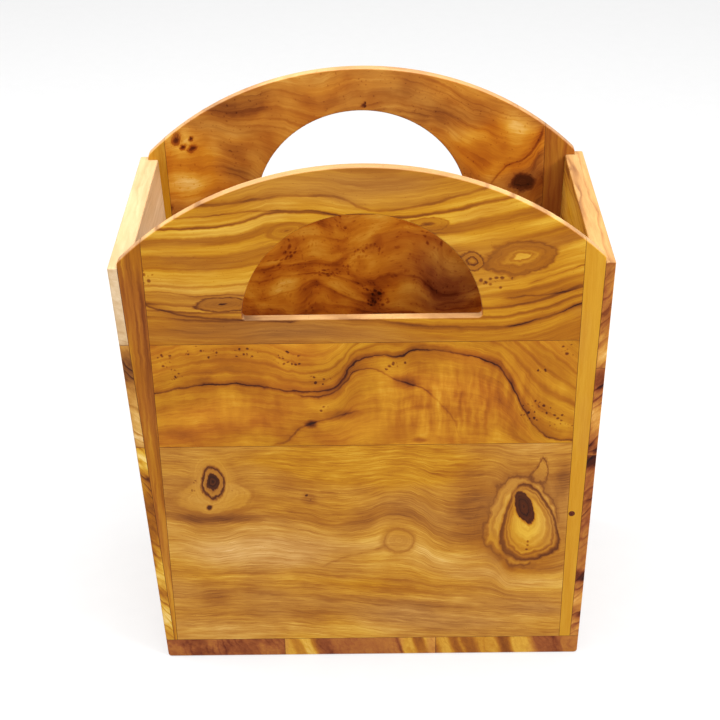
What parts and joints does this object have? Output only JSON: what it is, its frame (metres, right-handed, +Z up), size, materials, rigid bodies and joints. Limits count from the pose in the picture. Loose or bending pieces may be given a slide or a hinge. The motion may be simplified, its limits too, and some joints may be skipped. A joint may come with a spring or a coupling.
{
  "type": "magazine rack",
  "caption": "Open-topped wooden magazine rack with flared side walls and an arched front and back, each with a half-round handle opening.",
  "frame": {"origin": "on the underside of the base, midway between the two side walls' rims", "axes": "+Z up, +X to the right across the width, -Y towards the front panel"},
  "size_m": [0.3, 0.158, 0.373],
  "materials": {
    "base_wood": "oiled olive wood, end grain with dark and yellow rings",
    "front_top_wood": "oiled olive wood, honey yellow with dark wavy veins",
    "front_middle_wood": "oiled olive wood, honey yellow with wavy brown veins and small burrs",
    "front_bottom_wood": "oiled olive wood, amber with knots",
    "amber_stile_wood": "oiled olive wood, orange brown with upright grain",
    "golden_stile_wood": "oiled olive wood, golden yellow with fine upright grain",
    "back_burl_wood": "oiled olive wood, reddish brown with speckled burrs",
    "pale_side_wood": "oiled olive sapwood, pale cream",
    "dark_side_wood": "oiled olive wood, reddish brown with dark and yellow bands",
    "plug_wood": "dark wooden plug, sanded flush",
    "dowel_wood": "plain beech dowel"
  },
  "bodies": {
    "root": {"base_left_board": "base_wood", "base_middle_board": "base_wood", "base_right_board": "base_wood", "front_top_board": "front_top_wood", "front_middle_board": "front_middle_wood", "front_bottom_board": "front_bottom_wood", "front_left_stile": "amber_stile_wood", "front_right_stile": "golden_stile_wood", "back_top_board": "back_burl_wood", "back_middle_board": "back_burl_wood", "back_bottom_board": "back_burl_wood", "back_left_stile": "golden_stile_wood", "back_right_stile": "amber_stile_wood", "left_side_top_board": "pale_side_wood", "left_side_middle_board": "dark_side_wood", "left_side_bottom_board": "dark_side_wood", "right_side_top_board": "dark_side_wood", "right_side_middle_board": "dark_side_wood", "right_side_bottom_board": "dark_side_wood", "stile_plug": "plug_wood", "left_base_dowels": "dowel_wood", "right_base_dowels": "dowel_wood"}
  },
  "joints": []
}
